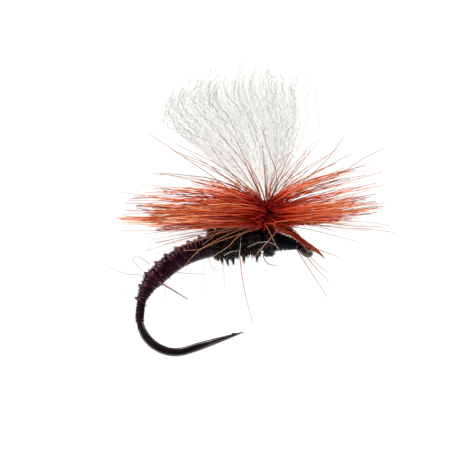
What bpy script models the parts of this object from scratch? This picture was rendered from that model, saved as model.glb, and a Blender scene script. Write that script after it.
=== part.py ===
"""A parachute emerger dry fly: curved hook, thread and herl body, yarn post and a flat-wound hackle.

The origin is the centre of the hook's eye. +X points out of the eye, away from the bend, and +Z points up
along the yarn post, so the hook's wire lies in the XZ plane.
"""

import math
import random

import bmesh
import bpy
from mathutils import Vector

MM = 0.001
Y_AXIS = Vector((0, 1, 0))
FIT_GAP = 0.02 * MM

# Hook
WIRE_RADIUS = 0.25 * MM
EYE_WIRE_RADIUS = 0.24 * MM
EYE_RADIUS = 0.43 * MM
EYE_TILT = math.radians(36)
BEND_CENTRE = Vector((-9.15, 0, -4.66)) * MM
BEND_RADIUS = 2.5 * MM
SPEAR_RISE = math.radians(17.8)
SPEAR_LENGTH = 4.3 * MM
POINT_LENGTH = 2.4 * MM
BARB_FROM_POINT = 0.9 * MM
BARB_FOOT = 0.12 * MM
BARB_HEIGHT = 0.08 * MM
FORGED_HALF_THICKNESS = 0.2 * MM
FORGED_SPREAD = 0.05 * MM
STATION = 0.4 * MM

# Thread, measured out from the middle of the wire
BASE_RADIUS = 0.33 * MM
RIB_RADIUS = 0.055 * MM
RIB_PITCH = 0.7 * MM
TAIL_X = -11.45 * MM
ABDOMEN_FRONT_X = -6.4 * MM
HEAD_REAR_X = -1.9 * MM
HEAD_FRONT_X = -0.9 * MM

# Thorax
HERL_RADIUS = 0.135 * MM
HERL_COIL_RADIUS = 0.83 * MM
HERL_STRANDS = 3
HERL_SPACING = 0.31 * MM
THORAX_REAR_X = -6.2 * MM
THORAX_FRONT_X = -3.55 * MM
THORAX_LIFT = 0.10 * MM

# Yarn post and what is wound on it
POST_FOOT = Vector((-2.72, 0, 1.66)) * MM
POST_LEAN = math.radians(-2.5)
POST_RADIUS = 0.40 * MM
POST_HEIGHT = 1.79 * MM
WRAP_RADIUS = 0.49 * MM
QUILL_RADIUS = 0.055 * MM
HACKLE_TURNS = 5
HACKLE_FIRST = 0.42 * MM
HACKLE_SPACING = 0.26 * MM
HACKLE_LOWEST = math.radians(-9)
HACKLE_SPREAD = math.radians(6.2)
BARBS_PER_TURN = 22
BARB_LENGTH = 8.6 * MM
BARB_LONGER_BEHIND = 0.06

COLOURS = {
    "bronze": ((0.10, 0.055, 0.035), 0.25, 1.0),
    "claret_thread": ((0.10, 0.012, 0.02), 0.5, 0.0),
    "black_thread": ((0.015, 0.012, 0.014), 0.4, 0.0),
    "red_thread": ((0.45, 0.06, 0.08), 0.5, 0.0),
    "herl": ((0.035, 0.03, 0.018), 0.6, 0.0),
    "white_yarn": ((0.82, 0.78, 0.72), 0.7, 0.0),
    "quill": ((0.22, 0.03, 0.02), 0.4, 0.0),
    "rust_hackle": ((0.50, 0.13, 0.03), 0.5, 0.0),
}


def clear_scene():
    for item in list(bpy.data.objects):
        bpy.data.objects.remove(item, do_unlink=True)


def material(name):
    found = bpy.data.materials.get(name)
    if found:
        return found
    colour, roughness, metallic = COLOURS[name]
    made = bpy.data.materials.new(name)
    made.use_nodes = True
    shader = made.node_tree.nodes["Principled BSDF"]
    shader.inputs["Base Color"].default_value = (*colour, 1)
    shader.inputs["Roughness"].default_value = roughness
    shader.inputs["Metallic"].default_value = metallic
    return made


def xz(x, z, y=0.0):
    """A point given in millimetres, in the hook's plane unless y says otherwise."""
    return Vector((x, y, z)) * MM


# ---------------------------------------------------------------- smooth paths


def spline_point(a, b, c, d, t):
    """Catmull-Rom: the curve through a, b, c and d, at t between b and c."""
    return 0.5 * (
        2 * b + (c - a) * t + (2 * a - 5 * b + 4 * c - d) * t**2 + (3 * b - a - 3 * c + d) * t**3
    )


def smooth(points, step):
    """Points no further apart than step on a smooth curve through the given ones."""
    ends = [2 * points[0] - points[1], *points, 2 * points[-1] - points[-2]]
    path = [points[0]]
    for a, b, c, d in zip(ends, ends[1:], ends[2:], ends[3:]):
        parts = max(1, math.ceil((c - b).length / step))
        path += [spline_point(a, b, c, d, (i + 1) / parts) for i in range(parts)]
    return path


def running_lengths(path):
    total = [0.0]
    for a, b in zip(path, path[1:]):
        total.append(total[-1] + (b - a).length)
    return total


def blend(table, position):
    """The value at a position in a table of (position, value), in straight steps."""
    if position <= table[0][0]:
        return table[0][1]
    for (a, low), (b, high) in zip(table, table[1:]):
        if position <= b:
            return low + (high - low) * (position - a) / (b - a)
    return table[-1][1]


class Wire:
    """The hook's centreline behind the eye, which everything on the shank is wound on."""

    def __init__(self, path):
        self.path = path
        self.lengths = running_lengths(path)

    def at(self, length):
        """The point, the outward normal and the sideways direction at a length from the neck."""
        for i in range(len(self.path) - 1):
            if length <= self.lengths[i + 1] or i == len(self.path) - 2:
                break
        share = (length - self.lengths[i]) / (self.lengths[i + 1] - self.lengths[i])
        point = self.path[i].lerp(self.path[i + 1], share)
        before = self.path[max(0, i - 1)]
        after = self.path[min(len(self.path) - 1, i + 2)]
        along_before = (self.path[i + 1] - before).normalized()
        along_after = (after - self.path[i]).normalized()
        tangent = along_before.lerp(along_after, share).normalized()
        normal = Y_AXIS.cross(tangent).normalized()
        return point, normal, tangent.cross(normal)

    def length_at(self, x):
        """The length at which the shank first reaches x."""
        for (a, b), start in zip(zip(self.path, self.path[1:]), self.lengths):
            if b.x <= x <= a.x:
                return start + (b - a).length * (a.x - x) / (a.x - b.x)
        raise ValueError("the shank doesn't reach this x")


# ---------------------------------------------------------------- solids


def mesh_object(name, bm, colour, parent=None):
    bmesh.ops.recalc_face_normals(bm, faces=bm.faces)
    mesh = bpy.data.meshes.new(name)
    bm.to_mesh(mesh)
    bm.free()
    mesh.shade_smooth()
    mesh.set_sharp_from_angle(angle=math.radians(40))
    made = bpy.data.objects.new(name, mesh)
    bpy.context.collection.objects.link(made)
    made.data.materials.append(material(colour))
    made.parent = parent
    return made


def tube(name, path, radii, colour, sides=8, parent=None):
    """A round strand: a bevelled curve with filled caps. sides is even, from 4 up."""
    curve = bpy.data.curves.new(name, "CURVE")
    curve.dimensions = "3D"
    curve.bevel_depth = 1.0
    curve.bevel_resolution = (sides - 4) // 2
    curve.use_fill_caps = True
    spline = curve.splines.new("POLY")
    spline.points.add(len(path) - 1)
    for point, position, radius in zip(spline.points, path, radii):
        point.co = (*position, 1)
        point.radius = radius
    curve.materials.append(material(colour))
    made = bpy.data.objects.new(name, curve)
    bpy.context.collection.objects.link(made)
    made.parent = parent
    return made


def skin(bm, rings):
    """Rows of quads between closed rings of vertices."""
    for low, high in zip(rings, rings[1:]):
        for i in range(len(low)):
            j = (i + 1) % len(low)
            bm.faces.new((low[i], low[j], high[j], high[i]))


def loft(name, sections, colour, parent=None):
    """A solid through closed sections of points, flat at both ends."""
    bm = bmesh.new()
    rings = [[bm.verts.new(p) for p in section] for section in sections]
    skin(bm, rings)
    bm.faces.new(rings[0])
    bm.faces.new(rings[-1])
    return mesh_object(name, bm, colour, parent)


def sleeve(name, outer, inner, colour, parent=None):
    """A tube wall between two stacks of rings, joined at both ends."""
    bm = bmesh.new()
    outside = [[bm.verts.new(p) for p in ring] for ring in outer]
    inside = [[bm.verts.new(p) for p in ring] for ring in inner]
    skin(bm, outside)
    skin(bm, inside)
    skin(bm, [outside[0], inside[0]])
    skin(bm, [outside[-1], inside[-1]])
    return mesh_object(name, bm, colour, parent)


def ring_points(centre, normal, side, radius, count):
    turns = [2 * math.pi * i / count for i in range(count)]
    return [centre + radius * (math.cos(a) * normal + math.sin(a) * side) for a in turns]


def shank_sleeve(name, wire, start, end, bore, profile, colour, lift=0.0, sides=14):
    """Windings on the shank from length start to end.

    bore is the inner radius, profile a table of (share of the way, outer radius), and lift moves the
    windings' middle outwards from the wire's.
    """
    parts = max(2, math.ceil((end - start) / STATION))
    outer, inner = [], []
    for i in range(parts + 1):
        share = i / parts
        point, normal, side = wire.at(start + share * (end - start))
        centre = point + lift * normal
        outer.append(ring_points(centre, normal, side, blend(profile, share), sides))
        inner.append(ring_points(centre, normal, side, bore, sides))
    return sleeve(name, outer, inner, colour)


def post_collar(name, low, high, bore, radius, colour, parent, sides=14):
    """Windings on the post, between two heights above its foot."""
    up, east = Vector((0, 0, 1)), Vector((1, 0, 0))
    outer = [ring_points(h * up, east, Y_AXIS, radius, sides) for h in (low, high)]
    inner = [ring_points(h * up, east, Y_AXIS, bore, sides) for h in (low, high)]
    return sleeve(name, outer, inner, colour, parent)


def shank_coil(wire, start, end, pitch, radius_at, lift=0.0, phase=0.0, points_per_turn=12):
    """Points of a helix round the shank. radius_at gives its radius at a share of the way."""
    turns = (end - start) / pitch
    count = math.ceil(turns * points_per_turn)
    path = []
    for i in range(count + 1):
        share = i / count
        point, normal, side = wire.at(start + share * (end - start))
        angle = 2 * math.pi * turns * share + phase
        radius = radius_at(share)
        around = math.cos(angle) * normal + math.sin(angle) * side
        path.append(point + lift * normal + radius * around)
    return path


# ---------------------------------------------------------------- the hook


def eye_point(along, across):
    """A point in the eye's own tilted plane."""
    return Vector((along * math.cos(EYE_TILT), across, -along * math.sin(EYE_TILT)))


def eye_loop():
    """The eye's wire, from its cut end round to where it leaves the neck."""
    first, last = 150, -135
    steps = 20
    angles = [math.radians(first + (last - first) * i / steps) for i in range(steps + 1)]
    return [eye_point(EYE_RADIUS * math.cos(a), EYE_RADIUS * math.sin(a)) for a in angles]


def shank_path():
    """The neck, the curved shank, the round bend and the straight spear."""
    neck = [eye_point(-0.50 * MM, -0.18 * MM), xz(-0.62, 0.325, -0.08), xz(-0.86, 0.375, -0.02)]
    shank = [
        xz(-1.82, 0.56),
        xz(-2.87, 0.63),
        xz(-3.92, 0.63),
        xz(-4.97, 0.56),
        xz(-6.93, 0.21),
        xz(-8.96, -0.63),
        xz(-10.71, -2.10),
        xz(-11.45, -3.4),
    ]
    bend_steps = 12
    bend = []
    for i in range(bend_steps + 1):
        heading = -math.pi / 2 + (math.pi / 2 + SPEAR_RISE) * i / bend_steps
        bend.append(BEND_CENTRE + BEND_RADIUS * Vector((math.sin(heading), 0, -math.cos(heading))))
    forward = Vector((math.cos(SPEAR_RISE), 0, math.sin(SPEAR_RISE)))
    spear_steps = 12
    spear = [bend[-1] + SPEAR_LENGTH * (i + 1) / spear_steps * forward for i in range(spear_steps)]
    return smooth([*neck, xz(-1.15, 0.44), *shank, *bend, *spear], STATION)


def forging_cutter(side):
    """A block that takes one side of the bend down to the forged thickness, with a sloped lead-in."""
    bpy.ops.mesh.primitive_cube_add(size=1)
    cutter = bpy.context.object
    cutter.name = f"forging_cutter_{'left' if side > 0 else 'right'}"
    cutter.scale = (5.6 * MM, 1.0 * MM, 2.5 * MM)
    bpy.ops.object.transform_apply(location=False, rotation=False, scale=True)
    cutter.location = (-9.4 * MM, side * (FORGED_HALF_THICKNESS + 0.5 * MM), -6.4 * MM)
    slope = cutter.modifiers.new("lead_in", "BEVEL")
    slope.width = 0.12 * MM
    slope.segments = 1
    cutter.hide_render = True
    cutter.display_type = "WIRE"
    return cutter


def barb_wedge(tip, forward):
    """The barb: a sliver raised from the spear, pointing back towards the bend."""
    up = Vector((-forward.z, 0, forward.x))
    foot = tip - BARB_FROM_POINT * forward
    half = 0.07 * MM
    bm = bmesh.new()
    lip = bm.verts.new(foot + (BARB_FOOT + BARB_HEIGHT) * up)
    front = bm.verts.new(foot + 0.5 * MM * forward + 0.05 * MM * up)
    left = bm.verts.new(foot + 0.2 * MM * forward + half * Y_AXIS)
    right = bm.verts.new(foot + 0.2 * MM * forward - half * Y_AXIS)
    for face in ((lip, front, left), (lip, right, front), (lip, left, right), (front, right, left)):
        bm.faces.new(face)
    wedge = mesh_object("barb_wedge", bm, "bronze")
    wedge.hide_render = True
    wedge.display_type = "WIRE"
    return wedge


def cut(target, tool, operation):
    step = target.modifiers.new(tool.name, "BOOLEAN")
    step.operation = operation
    step.solver = "EXACT"
    step.double_threshold = 0.0
    step.object = tool


def forged_spread(point):
    """How much wider in the hook's plane the wire is where the bend was hammered flat."""
    below_top = min(1.0, max(0.0, (-5.2 * MM - point.z) / (0.8 * MM)))
    before_spear = min(1.0, max(0.0, (-6.8 * MM - point.x) / (1.0 * MM)))
    return FORGED_SPREAD * below_top * before_spear


def add_hook(path):
    loop = eye_loop()
    lengths = running_lengths(path)
    radii = [EYE_WIRE_RADIUS * (0.75 if i == 0 else 1.0) for i in range(len(loop))]
    for point, length in zip(path, lengths):
        neck = min(1.0, length / (1.2 * MM))
        to_point = lengths[-1] - length
        needle = min(1.0, (to_point / POINT_LENGTH + 0.02) ** 0.8)
        wire = EYE_WIRE_RADIUS + neck * (WIRE_RADIUS - EYE_WIRE_RADIUS)
        radii.append((wire + forged_spread(point)) * needle)
    made = tube("hook", loop + path, radii, "bronze", sides=12)
    bpy.context.view_layer.update()
    solid = bpy.data.meshes.new_from_object(made.evaluated_get(bpy.context.evaluated_depsgraph_get()))
    bpy.data.objects.remove(made, do_unlink=True)
    solid.name = "hook"
    solid.shade_smooth()
    hook = bpy.data.objects.new("hook", solid)
    bpy.context.collection.objects.link(hook)
    for side in (1, -1):
        cut(hook, forging_cutter(side), "DIFFERENCE")
    cut(hook, barb_wedge(path[-1], (path[-1] - path[-2]).normalized()), "UNION")
    return hook


# ---------------------------------------------------------------- thread on the shank


def add_thread_base(wire, tail):
    start = wire.length_at(HEAD_FRONT_X)
    end = tail + 1.05 * MM
    bore = WIRE_RADIUS + FIT_GAP
    profile = [(0, BASE_RADIUS), (0.97, BASE_RADIUS), (1, 0.29 * MM)]
    shank_sleeve("thread_base", wire, start, end, bore, profile, "claret_thread", sides=12)


ABDOMEN_PROFILE = [
    (0.0, 0.87 * MM),
    (0.03, 0.90 * MM),
    (0.30, 0.80 * MM),
    (0.62, 0.78 * MM),
    (0.76, 0.75 * MM),
    (0.86, 0.62 * MM),
    (1.0, 0.41 * MM),
]


def add_abdomen(wire, front, tail):
    bore = BASE_RADIUS + 1.5 * FIT_GAP
    shank_sleeve("abdomen_wrap", wire, front, tail, bore, ABDOMEN_PROFILE, "black_thread")


def add_rib(wire, front, tail):
    """The rib winds up the abdomen in open turns."""
    start, end = front + 0.15 * MM, tail - 0.1 * MM

    def radius_at(share):
        along = (start + share * (end - start) - front) / (tail - front)
        return blend(ABDOMEN_PROFILE, along) + RIB_RADIUS + FIT_GAP

    path = shank_coil(wire, start, end, RIB_PITCH, radius_at)
    tube("rib_thread", path, [RIB_RADIUS] * len(path), "red_thread", sides=4)


def add_rib_tag(wire, tail):
    """The rib's loose end, which stands off the belly near the tail."""
    point, normal, _ = wire.at(tail - 1.6 * MM)
    start = point - 0.90 * MM * normal
    path = smooth([start, start + xz(0.75, -0.35), start + xz(1.7, -0.75, -0.1)], 0.3 * MM)
    radii = [0.05 * MM * (1 - 0.4 * i / len(path)) for i in range(len(path))]
    tube("rib_tag", path, radii, "red_thread", sides=4)


def add_butt_lashing(wire):
    """Thread that binds the yarn's butts down on the shank."""
    start, end = wire.length_at(-3.5 * MM), wire.length_at(-6.3 * MM)
    profile = [(0, 0.60 * MM), (1, 0.60 * MM)]
    lift = 0.18 * MM
    shank_sleeve("butt_lashing", wire, start, end, 0.55 * MM, profile, "claret_thread", lift, sides=12)


def add_thread_dam(wire):
    """Turns against the front of the post that hold it upright."""
    start, end = wire.length_at(-2.42 * MM), wire.length_at(-2.68 * MM)
    bore = BASE_RADIUS + FIT_GAP
    profile = [(0, 0.40 * MM), (0.5, 0.46 * MM), (1, 0.44 * MM)]
    shank_sleeve("thread_dam", wire, start, end, bore, profile, "black_thread", sides=12)


HEAD_PROFILE = [(0, 0.385 * MM), (0.15, 0.42 * MM), (0.6, 0.56 * MM), (0.9, 0.69 * MM), (1, 0.62 * MM)]


def add_head(wire):
    start, end = wire.length_at(HEAD_FRONT_X), wire.length_at(HEAD_REAR_X)
    bore = BASE_RADIUS + FIT_GAP
    shank_sleeve("head_wraps", wire, start, end, bore, HEAD_PROFILE, "black_thread")


def add_whip_finish(wire):
    """The last four turns, over the front of the head."""
    front, rear = wire.length_at(HEAD_FRONT_X), wire.length_at(HEAD_REAR_X)
    start, end = front + 0.10 * MM, front + 0.50 * MM
    thread = 0.045 * MM

    def radius_at(share):
        along = (start + share * (end - start) - front) / (rear - front)
        return blend(HEAD_PROFILE, along) + thread + FIT_GAP

    path = shank_coil(wire, start, end, 0.1 * MM, radius_at)
    tube("whip_finish", path, [thread] * len(path), "black_thread", sides=4)


# ---------------------------------------------------------------- thorax


def add_herl(wire):
    """Strands of herl wound side by side behind the post."""
    start, end = wire.length_at(THORAX_FRONT_X), wire.length_at(THORAX_REAR_X)
    pitch = HERL_STRANDS * HERL_SPACING
    for strand in range(HERL_STRANDS):
        phase = 2 * math.pi * strand / HERL_STRANDS
        path = shank_coil(wire, start, end, pitch, lambda share: HERL_COIL_RADIUS, THORAX_LIFT, phase)
        radii = [HERL_RADIUS * (1.0 if i % 2 else 0.86) for i in range(len(path))]
        tube(f"herl_strand_{strand + 1}", path, radii, "herl", sides=6)


def add_front_herl(wire):
    """One open turn of herl between the post and the head."""
    middle = wire.length_at(-2.16 * MM)
    radius = 0.17 * MM
    pitch = 0.08 * MM
    path = shank_coil(
        wire, middle, middle + 0.92 * pitch, pitch, lambda share: 0.72 * MM, phase=-0.3, points_per_turn=16
    )
    radii = [radius * (1.0 if i % 2 else 0.86) for i in range(len(path))]
    tube("herl_front_turn", path, radii, "herl", sides=6)


# ---------------------------------------------------------------- post, wing and hackle


def post_axis():
    empty = bpy.data.objects.new("post_axis", None)
    bpy.context.collection.objects.link(empty)
    empty.location = POST_FOOT
    empty.rotation_euler = (0, POST_LEAN, 0)
    return empty


def yarn_section(centre, across, half_width, half_depth, pleats=0.0, bow=0.0, sides=24):
    """One section of the yarn. across points over its width, and its depth is along Y."""
    travel = Y_AXIS.cross(across)
    points = []
    for i in range(sides):
        angle = 2 * math.pi * i / sides
        over = math.cos(angle)
        ripple = 1 + pleats * math.cos(5 * math.pi * over)
        rise = bow * (1 - over**2)
        depth = half_depth * math.sin(angle) * ripple
        points.append(centre + half_width * over * across + depth * Y_AXIS + rise * travel)
    return points


def yarn_butts(wire):
    """The butts taper along the top of the shank, then turn up into the post."""
    sections = []
    seat = BASE_RADIUS + FIT_GAP
    for x, height, width in ((-6.1, 0.05, 0.10), (-5.2, 0.12, 0.24), (-3.9, 0.15, 0.30), (-3.4, 0.16, 0.30)):
        point, normal, _ = wire.at(wire.length_at(x * MM))
        centre = point + (seat + height * MM) * normal
        sections.append(yarn_section(centre, normal, height * MM, width * MM))
    turn_radius = 0.52 * MM
    for step in (1, 2, 3, 4):
        share = step / 5
        angle = share * math.pi / 2
        centre = POST_FOOT - turn_radius * Vector((1 - math.sin(angle), 0, math.cos(angle)))
        across = Vector((-math.sin(angle), 0, math.cos(angle)))
        height = 0.17 * MM + share * (POST_RADIUS - 0.17 * MM)
        width = 0.30 * MM + share * (POST_RADIUS - 0.30 * MM)
        sections.append(yarn_section(centre, across, height, width))
    return sections


# Outline of the wing's fan, from the post to the trimmed top: its left and right edges, its half depth,
# and how far the middle of the section stands proud of its ends.
WING_FAN = [
    ((-3.45, 4.10), (-2.15, 4.20), 0.50, 0.10),
    ((-4.60, 5.05), (-1.90, 5.20), 0.75, 0.35),
    ((-6.50, 6.55), (-1.60, 6.50), 1.00, 0.60),
    ((-8.20, 8.20), (-1.25, 7.90), 1.25, 0.80),
    ((-9.45, 9.75), (-0.85, 9.30), 1.45, 0.80),
    ((-9.10, 10.80), (-0.95, 10.60), 1.55, 0.60),
    ((-8.50, 11.30), (-1.00, 11.60), 1.20, 0.50),
]


def wing_sections():
    top = POST_FOOT + POST_HEIGHT * Vector((math.sin(POST_LEAN), 0, math.cos(POST_LEAN)))
    across = Vector((-math.cos(POST_LEAN), 0, math.sin(POST_LEAN)))
    sections = [
        yarn_section(POST_FOOT, across, POST_RADIUS, POST_RADIUS),
        yarn_section(top, across, POST_RADIUS, POST_RADIUS),
    ]
    for left, right, depth, bow in WING_FAN:
        west, east = xz(*left), xz(*right)
        half = (west - east) / 2
        centre = (west + east) / 2
        sections.append(
            yarn_section(centre, half.normalized(), half.length, depth * MM, pleats=0.16, bow=bow * MM)
        )
    return sections


def add_post_yarn(wire):
    loft("post_yarn", [*yarn_butts(wire), *wing_sections()], "white_yarn")


def add_post_thread(axis):
    bore = POST_RADIUS + FIT_GAP
    post_collar("post_wraps", 0.05 * MM, POST_HEIGHT - 0.05 * MM, bore, WRAP_RADIUS, "claret_thread", axis)
    post_collar("hackle_tie_off", 0.08 * MM, 0.24 * MM, WRAP_RADIUS + FIT_GAP, 0.60 * MM, "black_thread", axis)


def add_quill(axis):
    """The hackle's stem, wound up the post inside its own barbs."""
    coil_radius = WRAP_RADIUS + 1.5 * FIT_GAP + QUILL_RADIUS
    steps = 14 * HACKLE_TURNS
    path = []
    for i in range(steps + 1):
        turned = HACKLE_TURNS * i / steps
        angle = 2 * math.pi * turned
        height = HACKLE_FIRST - 0.1 * MM + HACKLE_SPACING * turned
        path.append(Vector((coil_radius * math.cos(angle), coil_radius * math.sin(angle), height)))
    tube("hackle_quill", path, [QUILL_RADIUS] * len(path), "quill", sides=4, parent=axis)


def barb_heights(turn, azimuth, lift, distance):
    """How far a barb is above its own turn, at a distance from the post.

    A barb keeps its turn's slope with a slight droop. Behind the post the lowest turns ride over the thorax.
    """
    slope = math.tan(HACKLE_LOWEST + HACKLE_SPREAD * turn)
    over_thorax = math.cos(azimuth - math.pi) > 0.6
    if over_thorax:
        slope = max(slope, math.tan(math.radians(-2 + 4 * turn)))
    droop = 0.010 / MM * distance**2
    return slope * distance + lift * distance - droop


def add_barb_ring(turn, axis):
    """One turn of hackle: the flattened stem and the barbs that stand out from it."""
    chance = random.Random(40 + turn)
    bore, root = 0.665 * MM, 0.80 * MM
    half_stem = 0.08 * MM
    height = HACKLE_FIRST + HACKLE_SPACING * turn
    bm = bmesh.new()

    def pair(azimuth, distance, rise, half):
        spot = Vector((distance * math.cos(azimuth), distance * math.sin(azimuth), height + rise))
        return bm.verts.new(spot + Vector((0, 0, half))), bm.verts.new(spot - Vector((0, 0, half)))

    def wall(a, b):
        bm.faces.new((a[0], b[0], b[1], a[1]))

    def strip(a, b, c, d):
        bm.faces.new((a[0], b[0], c[0], d[0]))
        bm.faces.new((a[1], d[1], c[1], b[1]))

    step = 2 * math.pi / BARBS_PER_TURN
    offset = step * turn * 0.37
    bores = [pair(offset + step * i, bore, 0, half_stem) for i in range(BARBS_PER_TURN)]
    roots = [pair(offset + step * i, root, 0, half_stem) for i in range(BARBS_PER_TURN)]
    for i in range(BARBS_PER_TURN):
        j = (i + 1) % BARBS_PER_TURN
        azimuth = offset + step * (i + 0.5 + chance.uniform(-0.3, 0.3))
        length = BARB_LENGTH * chance.uniform(0.86, 1.06) * (1 - BARB_LONGER_BEHIND * math.cos(azimuth))
        lift = chance.uniform(-0.025, 0.025)
        sweep = chance.uniform(-0.05, 0.05)
        strip(bores[i], bores[j], roots[j], roots[i])
        wall(bores[j], bores[i])
        left, right = roots[i], roots[j]
        for share, half_width, half_thick in ((0.3, 0.075, 0.06), (0.7, 0.05, 0.04)):
            distance = root + share * length
            spread = half_width * MM / distance
            turned = azimuth + sweep * share
            rise = barb_heights(turn, azimuth, lift, distance)
            new_left = pair(turned - spread, distance, rise, half_thick * MM)
            new_right = pair(turned + spread, distance, rise, half_thick * MM)
            strip(left, right, new_right, new_left)
            wall(left, new_left)
            wall(new_right, right)
            left, right = new_left, new_right
        reach = root + length
        tip_rise = barb_heights(turn, azimuth, lift, reach)
        turned = azimuth + sweep
        tip = bm.verts.new((reach * math.cos(turned), reach * math.sin(turned), height + tip_rise))
        for a, b in ((left[0], right[0]), (right[0], right[1]), (right[1], left[1]), (left[1], left[0])):
            bm.faces.new((a, b, tip))
    return mesh_object(f"hackle_barbs_{turn + 1}", bm, "rust_hackle", axis)


def add_hackle_tip():
    """The tied-off end of the hackle, matted into a point that passes beside the head."""
    route = [
        xz(-2.00, 1.58, -0.78),
        xz(-1.39, 1.50, -0.95),
        xz(-0.85, 1.15, -1.00),
        xz(-0.23, 0.69, -1.00),
        xz(0.76, 0.02, -0.90),
        xz(1.56, -0.73, -0.80),
    ]
    path = smooth(route, 0.3 * MM)
    lengths = running_lengths(path)
    swell = [(0, 0.08 * MM), (0.2, 0.20 * MM), (0.6, 0.20 * MM), (0.85, 0.12 * MM), (1, 0.02 * MM)]
    radii = [blend(swell, length / lengths[-1]) for length in lengths]
    tube("hackle_tip", path, radii, "quill", sides=6)


def build():
    clear_scene()
    path = shank_path()
    wire = Wire(path)
    tail = wire.length_at(TAIL_X)
    abdomen_front = wire.length_at(ABDOMEN_FRONT_X)
    add_hook(path)
    add_thread_base(wire, tail)
    add_abdomen(wire, abdomen_front, tail)
    add_rib(wire, abdomen_front, tail)
    add_rib_tag(wire, tail)
    add_post_yarn(wire)
    add_butt_lashing(wire)
    add_thread_dam(wire)
    add_herl(wire)
    add_front_herl(wire)
    add_head(wire)
    add_whip_finish(wire)
    axis = post_axis()
    add_post_thread(axis)
    add_quill(axis)
    for turn in range(HACKLE_TURNS):
        add_barb_ring(turn, axis)
    add_hackle_tip()


build()
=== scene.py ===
import math

import bpy
import numpy as np
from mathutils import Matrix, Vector


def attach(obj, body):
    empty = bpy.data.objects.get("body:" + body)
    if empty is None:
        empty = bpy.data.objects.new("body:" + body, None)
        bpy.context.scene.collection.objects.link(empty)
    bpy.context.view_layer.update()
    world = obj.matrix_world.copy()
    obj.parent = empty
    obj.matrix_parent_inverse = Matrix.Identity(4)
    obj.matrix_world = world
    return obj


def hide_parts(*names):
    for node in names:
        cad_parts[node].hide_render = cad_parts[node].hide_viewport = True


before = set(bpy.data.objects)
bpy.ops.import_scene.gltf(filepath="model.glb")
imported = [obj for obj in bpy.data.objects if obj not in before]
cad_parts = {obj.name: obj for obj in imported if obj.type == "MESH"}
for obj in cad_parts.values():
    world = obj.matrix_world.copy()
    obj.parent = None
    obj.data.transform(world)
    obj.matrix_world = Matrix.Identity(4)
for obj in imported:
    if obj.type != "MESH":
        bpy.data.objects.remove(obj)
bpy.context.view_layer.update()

MM = 0.001
SEED = 7
TURN = 2 * np.pi
Y_AXIS = np.array((0, 1, 0))

# Lengths and places are in millimetres, from the centre of the hook's eye.
# The eye: its tilt down in front, its roll to the right, its ring, its wire, and where the wire grows finer.
EYE_TILT = math.radians(43)
EYE_ROLL = math.radians(22)
EYE_RADIUS = 0.37
EYE_WIRE = 0.27
EYE_SET_BACK = 0.05
EYE_NECK = 1.2
EYE_END_TAPER = (0.55, 0.85, 0.96)

# The wire's radius and its centreline from the eye to the bend.
WIRE = 0.25
SHANK = [
    (-0.62, -0.08, 0.325), (-0.86, -0.02, 0.375), (-1.15, 0, 0.44), (-1.82, 0, 0.56),
    (-2.87, 0, 0.63), (-3.92, 0, 0.63), (-4.97, 0, 0.56), (-6.93, 0, 0.21),
    (-8.96, 0, -0.63), (-10.71, 0, -2.1), (-11.45, 0, -3.4),
]
BEND_CENTRE = np.array((-9.15, 0, -4.66))
BEND_RADIUS = 2.5
SPEAR_RISE = math.radians(17.8)
SPEAR_LENGTH = 4.3
POINT_LENGTH = 2.4

# The barb: its lip's distance from the point, the lengths of its rise and its drop, and its height.
BARB_FROM_POINT = 0.9
BARB_RISE = 0.45
BARB_DROP = 0.06
BARB_HEIGHT = 0.09

# The forged bend: half its thickness, its added width, and where the flat stretch starts and ends.
FORGED_HALF = 0.2
FORGED_SPREAD = 0.06
FORGED_BELOW = -5.2
FORGED_BEHIND = -6.6

POST_FOOT = np.array((-2.72, 0, 1.66))
POST_LEAN = math.radians(-2.5)
POST_TOP = 1.79


# ---- paths


def draws(number):
    """The random draws of one part of the fly."""
    return np.random.default_rng(SEED + number)


def shares(count):
    return np.linspace(0, 1, count)


def unit(v):
    return v / np.maximum(np.linalg.norm(v, axis=-1, keepdims=True), 1e-12)


def smooth(points, step):
    """Points about step apart on the Catmull-Rom curve through the given ones."""
    p = [np.array(q, float) for q in points]
    p = [2 * p[0] - p[1], *p, 2 * p[-1] - p[-2]]
    out = [p[1]]
    for a, b, c, d in zip(p, p[1:], p[2:], p[3:]):
        n = max(1, math.ceil(np.linalg.norm(c - b) / step))
        for t in (np.arange(n) + 1) / n:
            curve = 2 * b + (c - a) * t + (2 * a - 5 * b + 4 * c - d) * t**2 + (3 * b - a - 3 * c + d) * t**3
            out.append(0.5 * curve)
    return np.array(out)


def lengths_along(path):
    return np.concatenate([[0], np.cumsum(np.linalg.norm(np.diff(path, axis=0), axis=1))])


def read_between(at, places, rows):
    """Rows of three numbers, read between the places where they are known."""
    return np.stack([np.interp(at, places, rows[:, k]) for k in range(3)], axis=-1)


def profile(stops, at):
    """A value that follows (place, value) pairs."""
    return np.interp(at, *zip(*stops))


def resample(path, count):
    s = lengths_along(path)
    return read_between(np.linspace(0, s[-1], count), s, path)


def smooth_lines(routes, count, step=0.1):
    """One smooth line of count points through each route."""
    return np.array([resample(smooth(route, step), count) for route in routes])


def tangents(lines):
    return unit(np.gradient(lines, axis=-2))


def wander(rng, count, points, waves, size):
    """Smooth random offsets, one line of points for each of count strands."""
    t = shares(points)
    out = np.zeros((count, points, 3))
    for k in range(1, waves + 1):
        phase = rng.uniform(0, TURN, (count, 1, 3))
        amount = rng.normal(0, 1, (count, 1, 3)) / k
        out += amount * np.sin(TURN * k * t[None, :, None] * 0.5 + phase)
    return out * size


def kinked(lines, rng, waves, size):
    """The same lines with small bends, which grow towards their tips."""
    count, points, _ = lines.shape
    return lines + wander(rng, count, points, waves, size) * shares(points)[None, :, None]


def taper(points, base, tip, power=1.0):
    t = shares(points)
    return base + (tip - base) * t**power


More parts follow.
